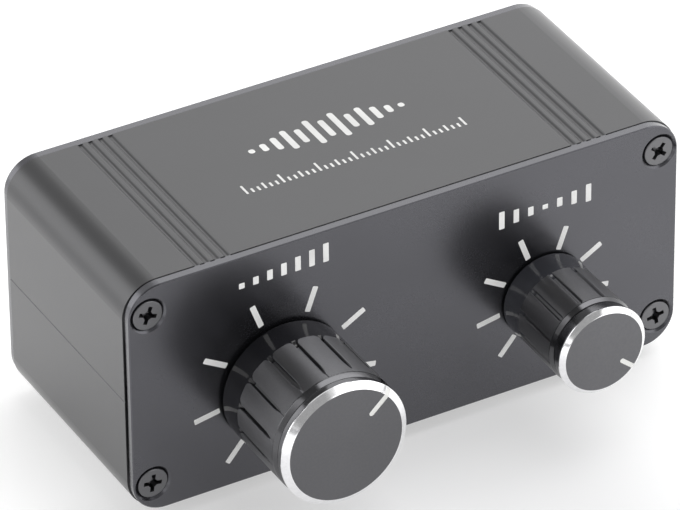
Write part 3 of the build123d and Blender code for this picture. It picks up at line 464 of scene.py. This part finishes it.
B_SKIRT = [(6.64, 0.30), (6.72, 0.32), (6.77, 0.38), (6.78, 0.5), (6.79, 1.2), (6.80, 2.0), (6.80, 2.8), (6.79, 3.3), (6.78, 3.6), (6.765, 3.8)]
B_GRIP = [3.9, 4.0, 4.08, 4.15, 4.22, 4.29, 4.36, 4.43, 4.5, 4.58, 4.67, 4.78, 4.9, 5.05, 5.25, 5.5, 5.9, 6.5, 7.5, 8.5, 9.5,
          10.5, 11.4, 12.0, 12.3, 12.45, 12.55, 12.63, 12.7, 12.77, 12.84, 12.91, 12.98]
knob_body("balance_knob_moulding", "balance", "balance_knob_body", BAL_X, KNOB_Z, {
    "slots": 12, "phase": 130.3 + 5.7, "arc_r": 6.85, "slot_w": 0.50,
    "across": [0, 0.12, 0.2, 0.24, 0.265, 0.285, 0.305, 0.335, 0.38, 0.44, 0.52, 0.62, 0.75, 0.9, 1.1, 1.35],
    "corner": 0.3, "land_start": 4.0, "soft_rear": 0.30, "soft_side": 0.16, "slot_end": 12.96, "slot_taper": 0.35,
    "skirt": B_SKIRT, "grip_rows": B_GRIP,
    "root": linear_table([(0, 6.765), (4.0, 6.762), (4.36, 6.758), (4.5, 6.74), (4.67, 6.69), (4.9, 6.61), (5.25, 6.53), (5.9, 6.50), (12.0, 6.52), (18, 6.54)]),
    "land": linear_table([(0, 6.765), (4.0, 6.762), (4.6, 6.765), (10.5, 6.88), (18, 6.9)]),
    "shoulder": [(6.9, 13.06), (6.88, 13.14), (6.62, 13.72), (6.60, 13.80)],
    "collar": [(6.52, 13.82), (6.52, 13.9), (6.60, 13.93), (6.62, 14.0), (6.615, 14.1), (6.56, 15.0), (6.503, 15.63), (6.50, 15.66), (6.48, 15.69)],
    "gloss_waist": lambda h, u: h < 4.3 or (u < 0.29 and h < 5.4),
    "inside_top": [(3.9, 15.7), (3.9, 14.9), (0, 14.9)],
    "inside_bottom": [(5.4, 0.3), (5.4, 2.6), (4.8, 2.6), (4.8, 5.5), (3.0, 5.5), (3.0, 13.4), (0, 13.4)],
    "mats": [KNOB_GLOSS_B, LAND_SMALL, EDGE, CHAMFER],
})


# ------------------------------------------------------------------ knob caps
def knob_cap(name, body, node, x, z, top, lip, face, spigot, pointer, face_mat):
    """Turned cap: spun face, bright cut bevel and lip, milled pointer groove."""
    (lip_r, lip_h), (face_r, face_h) = lip, face
    spig_r, spig_h = spigot
    rows = [(0, spig_h), (spig_r, spig_h), (spig_r, top), (lip_r - 0.05, top), (lip_r, top + 0.03), (lip_r, lip_h - 0.03),
            (lip_r - 0.02, lip_h)]
    steps = 6
    for i in range(1, steps):
        t = i / steps
        rows.append((lip_r - 0.02 + (face_r + 0.03 - lip_r + 0.02) * t, lip_h + (face_h - 0.015 - lip_h) * t))
    rows += [(face_r + 0.03, face_h - 0.015), (face_r, face_h)]
    bright_end = len(rows) - 2
    for k in range(1, 13):
        rows.append((face_r * (1 - k / 12), face_h))
    rows[-1] = (0, face_h)
    verts, faces, owners = lathe(x, z, rows, 256)
    index = [1 if 3 <= j <= bright_end else 0 for j in owners]
    o = make(name, verts, faces, [face_mat, CAP_BRIGHT, PAINT], None, False, indices=index)
    outward(o)
    # groove: a stadium from the inner end out over the rim
    az, r_in, w, deep = pointer
    a = radians(az)
    out = Vector((sin(a), 0, cos(a)))
    side = Vector((cos(a), 0, -sin(a)))
    centre = panel(x, z, 0)
    outline = []
    for k in range(25):
        t = pi * k / 24
        outline.append(out * (r_in + w / 2 - w / 2 * sin(t)) + side * (w / 2 * cos(t)))
    outline = [out * (lip_r + 1) + side * (w / 2)] + outline + [out * (lip_r + 1) - side * (w / 2)]
    cv, cf = [], []
    for h in (face_h - deep, face_h + 0.5):
        for p in outline:
            cv.append(centre + p * MM + Vector((0, -h * MM, 0)))
    q = len(outline)
    cf.append(tuple(range(q)))
    cf.append(tuple(reversed(range(q, 2 * q))))
    for k in range(q):
        k2 = (k + 1) % q
        cf.append((k, k + q, k2 + q, k2))
    cutter = make(name + "_cutter", cv, cf, [PAINT], None, False)
    outward(cutter)
    mod = o.modifiers.new("groove", "BOOLEAN")
    mod.operation = "DIFFERENCE"
    mod.solver = "EXACT"
    mod.object = cutter
    bpy.context.view_layer.update()
    dg = bpy.context.evaluated_depsgraph_get()
    cut = bpy.data.meshes.new_from_object(o.evaluated_get(dg))
    o.modifiers.clear()
    o.data = cut
    bpy.data.objects.remove(cutter)
    o.data.polygons.foreach_set("use_smooth", [True] * len(o.data.polygons))
    o.data.set_sharp_from_angle(angle=radians(20))
    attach(o, body)
    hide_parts(node)
    return o


knob_cap("volume_knob_spun_cap", "volume", "volume_knob_cap", VOL_X, KNOB_Z, 17.0, (9.84, 17.23), (8.8, 17.87),
         (6.0, 16.0), (46.7, 5.2, 0.8, 0.6), CAP_FACE)
knob_cap("balance_knob_spun_cap", "balance", "balance_knob_cap", BAL_X, KNOB_Z, 15.7, (6.97, 15.95), (6.22, 16.5),
         (3.9, 14.9), (130.3, 3.6, 0.7, 0.6), CAP_FACE_B)


# ------------------------------------------------------------------ prints
def prism(outline, plane, thick=0.02):
    """Vertices and faces of a thin print; plane maps (u, v, height) to a point."""
    n = len(outline)
    v = [plane(a, b, 0.002) for a, b in outline] + [plane(a, b, thick) for a, b in outline]
    f = [tuple(reversed(range(n))), tuple(range(n, 2 * n))]
    for k in range(n):
        f.append((k, (k + 1) % n, (k + 1) % n + n, k + n))
    return v, f


def bar(cx, cy, length, width, angle=0.0, corner=0.12, seg=4):
    """Rounded bar centred at (cx, cy), its length along the angle (degrees from +v towards +u)."""
    a = radians(angle)
    pts = []
    c = min(corner, width / 2 - 1e-4, length / 2 - 1e-4)
    for sx, sy, start in ((1, 1, 0), (-1, 1, 90), (-1, -1, 180), (1, -1, 270)):
        for k in range(seg + 1):
            t = radians(start + 90 * k / seg)
            px, py = sx * (width / 2 - c) + c * cos(t), sy * (length / 2 - c) + c * sin(t)
            pts.append((cx + px * cos(a) + py * sin(a), cy - px * sin(a) + py * cos(a)))
    return pts


def prints(name, outlines, plane, thick=0.02, ink=None):
    verts, faces = [], []
    for o in outlines:
        v, f = prism(o, plane, thick)
        k = len(verts)
        verts += v
        faces += [tuple(i + k for i in g) for g in f]
    ob = make(name, verts, faces, [ink or INK], "root", False)
    outward(ob)
    return ob


def on_panel(u, v, h):
    return panel(u, v, h)


def on_top(u, v, h):
    return Vector((u * MM, (FRONT_Y + v) * MM, (TOP_Z + h) * MM))


for label, cx, cz, r0, r1, w in (("volume", -19.67, -3.62, 10.55, 14.6, 0.88), ("balance", 21.85, -3.75, 7.15, 10.95, 0.86)):
    marks = []
    for az in (-140, -100, -60, -20, 20, 60, 100, 140):
        rm = (r0 + r1) / 2
        marks.append(bar(cx + rm * sin(radians(az)), cz + rm * cos(radians(az)), r1 - r0, w, az, 0.16))
    prints(label + "_scale_marks", marks, on_panel)

# generic level graphic over the volume knob: seven bars that grow to the right
marks = []
for k in range(7):
    hgt = 0.9 + 0.36 * k
    marks.append(bar(-26.2 + k * 2.2, 13.65 + hgt / 2, hgt, 0.88, 0, 0.12))
prints("volume_level_mark", marks, on_panel)
# generic balance graphic: bars that grow to both sides of a centre mark
marks = []
for k in range(-3, 4):
    hgt = 0.75 + 0.72 * abs(k)
    marks.append(bar(22.1 + k * 2.35, 11.0, hgt, 0.88, 0, 0.12))
prints("balance_level_mark", marks, on_panel)
# generic wave on the top, and a row of fine graduations before it
marks = []
heights = [1.0, 1.9, 3.2, 5.0, 3.6, 6.4, 4.4, 6.4, 3.6, 5.0, 3.2, 1.9, 1.0]
for k, hgt in enumerate(heights):
    marks.append(bar(-0.4 + (k - 6) * 2.0, 22.3, hgt, 0.95, 0, 0.4))
prints("top_wave_mark", marks, on_top, ink=INK_TOP_SHADED)
marks = []
for k in range(-18, 19):
    hgt = 2.2 if k % 6 == 0 else (1.5 if k % 3 == 0 else 1.0)
    marks.append(bar(-0.45 + k * 0.97, 13.2 + hgt / 2, hgt, 0.34, 0, 0.08))
prints("top_fine_scale", marks, on_top, ink=INK_TOP_SHADED)


# ------------------------------------------------------------------ stage
floor_mesh = bpy.data.meshes.new("floor")
bm = bmesh.new()
bmesh.ops.create_grid(bm, x_segments=8, y_segments=8, size=2.5)
bm.to_mesh(floor_mesh)
bm.free()
floor = bpy.data.objects.new("floor", floor_mesh)
bpy.context.scene.collection.objects.link(floor)
# The floor's colour has painted shade: darker patches just ahead of the box and beside its left side stand in for
# the shade there. Far in front the floor turns darker still.
k = Mat("floor_painted_shade", Roughness=0.9, Emission_Strength=0.46)
k.p.inputs["Specular IOR Level"].default_value = 0.1
paper = k.mix(k.span(k.noise(3.0, 2.0), 0.3, 0.7, 0.0, 1.0), (0.67, 0.67, 0.67), (0.69, 0.69, 0.69))
sep = k.node("ShaderNodeSeparateXYZ")
k.link(k.coord.outputs["Object"], sep.inputs[0])
# painted shade: a darker patch of floor just ahead of the box
shade_ahead_x_mask = k.math("MULTIPLY", k.span(sep.outputs["X"], -0.075, -0.045, 0.0, 1.0, True), k.span(sep.outputs["X"], 0.01, 0.055, 1.0, 0.0, True))
shade_ahead_y_mask = k.math("MULTIPLY", k.span(sep.outputs["Y"], -0.095, -0.05, 0.0, 1.0, True), k.span(sep.outputs["Y"], -0.02, 0.0, 1.0, 0.0, True))
near = k.mix(k.math("MULTIPLY", shade_ahead_x_mask, shade_ahead_y_mask), paper, (0.41, 0.41, 0.415))
# painted shade: a darker patch of floor beside the box's left side
shade_left_mask = k.math("MULTIPLY", k.span(sep.outputs["X"], -0.085, -0.052, 1.0, 0.0, True), k.span(sep.outputs["Y"], -0.06, -0.01, 0.0, 1.0, True))
painted_shade_beside = k.mix(shade_left_mask, near, (0.60, 0.60, 0.605))
far_f = k.span(sep.outputs["Y"], -0.27, -0.17, 1.0, 0.0, True)
k.colour(k.mix(far_f, painted_shade_beside, (0.25, 0.25, 0.255)))
# painted light: the floor glows (emission), strongest near the box and fading far in front, which lifts its shadows
k.link(k.mix(far_f, (1.0, 1.0, 1.0), (0.2, 0.2, 0.2)), k.p.inputs["Emission Color"])
floor_mesh.materials.append(k.m)

# soft white surroundings with a darker strip from the viewer's side over the
# top to the back, as in a light tent with its front open
world = bpy.data.worlds.new("tent")
bpy.context.scene.world = world
world.use_nodes = True
wt = world.node_tree
wt.nodes.clear()
w_out = wt.nodes.new("ShaderNodeOutputWorld")
w_bg = wt.nodes.new("ShaderNodeBackground")
wt.links.new(w_bg.outputs[0], w_out.inputs[0])
w_co = wt.nodes.new("ShaderNodeTexCoord")


def wmath(op, a, b=None):
    n = wt.nodes.new("ShaderNodeMath")
    n.operation = op
    for i, v in enumerate((a, b)):
        if v is None:
            continue
        if isinstance(v, (int, float)):
            n.inputs[i].default_value = v
        else:
            wt.links.new(v, n.inputs[i])
    return n.outputs[0]


def wdot(vec):
    n = wt.nodes.new("ShaderNodeVectorMath")
    n.operation = "DOT_PRODUCT"
    wt.links.new(w_co.outputs["Generated"], n.inputs[0])
    n.inputs[1].default_value = vec
    return n.outputs["Value"]


def wspan(v, lo, hi, a, b, smooth=True):
    n = wt.nodes.new("ShaderNodeMapRange")
    n.interpolation_type = "SMOOTHSTEP" if smooth else "LINEAR"
    for s, val in zip(("From Min", "From Max", "To Min", "To Max"), (lo, hi, a, b)):
        n.inputs[s].default_value = val
    wt.links.new(v, n.inputs["Value"])
    return n.outputs["Result"]


TENT = 1.8
SLIT_N = Vector((-0.896, 0.195, -0.398)).normalized()
VIEW = Vector((-0.4053, -0.7143, 0.5704)).normalized()
w_xyz = wt.nodes.new("ShaderNodeSeparateXYZ")
wt.links.new(w_co.outputs["Generated"], w_xyz.inputs[0])
off = wmath("ABSOLUTE", wmath("ADD", wdot(tuple(SLIT_N)), wspan(w_xyz.outputs["Y"], -0.30, 0.35, 0.14, 0.0)))
in_slit = wspan(wmath("SUBTRACT", off, wspan(w_xyz.outputs["Y"], 0.10, 0.38, 0.0, 0.085)), 0.21, 0.27, 1.0, 0.0)
near_view = wspan(wdot(tuple(VIEW)), 0.55, 0.85, 0.0, 1.0)
slit_level = wmath("ADD", wspan(w_xyz.outputs["Y"], 0.54, 0.68, 0.10, 0.45), wmath("MULTIPLY", near_view, 0.10))
slit = wmath("MULTIPLY", in_slit, wmath("SUBTRACT", 1.0, slit_level))
for centre, lo, hi in (((-0.20, -0.93, 0.28), 0.90, 0.95), ((0.0, -0.68, 0.73), 0.87, 0.93)):
    patch = wspan(wdot(tuple(Vector(centre).normalized())), lo, hi, 0.0, 0.80)
    slit = wmath("MAXIMUM", slit, patch)
BOX_DIR = Vector((0.50, -0.10, 0.86)).normalized()
strip = wspan(wmath("ABSOLUTE", wmath("SUBTRACT", w_xyz.outputs["Y"], 0.09)), 0.13, 0.21, 1.0, 0.0)
overhead = wmath("MULTIPLY", strip, wspan(wdot(tuple(BOX_DIR)), 0.78, 0.83, 0.0, 1.7))
LEFT_DIR = Vector((-0.99, -0.16, 0.02)).normalized()
dim_left = wspan(wdot(tuple(LEFT_DIR)), 0.62, 0.90, 0.0, 1.05)
RIGHT_DIR = Vector((0.95, 0.22, 0.06)).normalized()
dim_right = wspan(wdot(tuple(RIGHT_DIR)), 0.70, 0.95, 0.0, 0.45)
BACK_DIR = Vector((-0.62, 0.72, 0.25)).normalized()
back_left = wspan(wdot(tuple(BACK_DIR)), 0.84, 0.97, 0.0, 0.45)
bright = wmath("ADD", wmath("ADD", TENT, overhead), back_left)
level = wmath("MULTIPLY", wmath("SUBTRACT", 1.0, slit), wmath("SUBTRACT", bright, wmath("ADD", dim_left, dim_right)))
wt.links.new(level, w_bg.inputs["Strength"])
w_bg.inputs["Color"].default_value = (1.0, 1.0, 1.0, 1.0)

# ------------------------------------------------------------------ camera
cam = bpy.data.cameras.new("camera")
cam.lens = 360.2627
cam.sensor_width = 36.0
cam.clip_start, cam.clip_end = 0.05, 20.0
cam_o = bpy.data.objects.new("camera", cam)
bpy.context.scene.collection.objects.link(cam_o)
cam_o.location = (-0.3850107, -0.6927459, 0.5627865)
cam_o.rotation_mode = "QUATERNION"
cam_o.rotation_quaternion = Quaternion((0.85489368, 0.45331367, -0.11405195, -0.22506813))
bpy.context.scene.camera = cam_o
bpy.context.scene.view_settings.view_transform = "Standard"
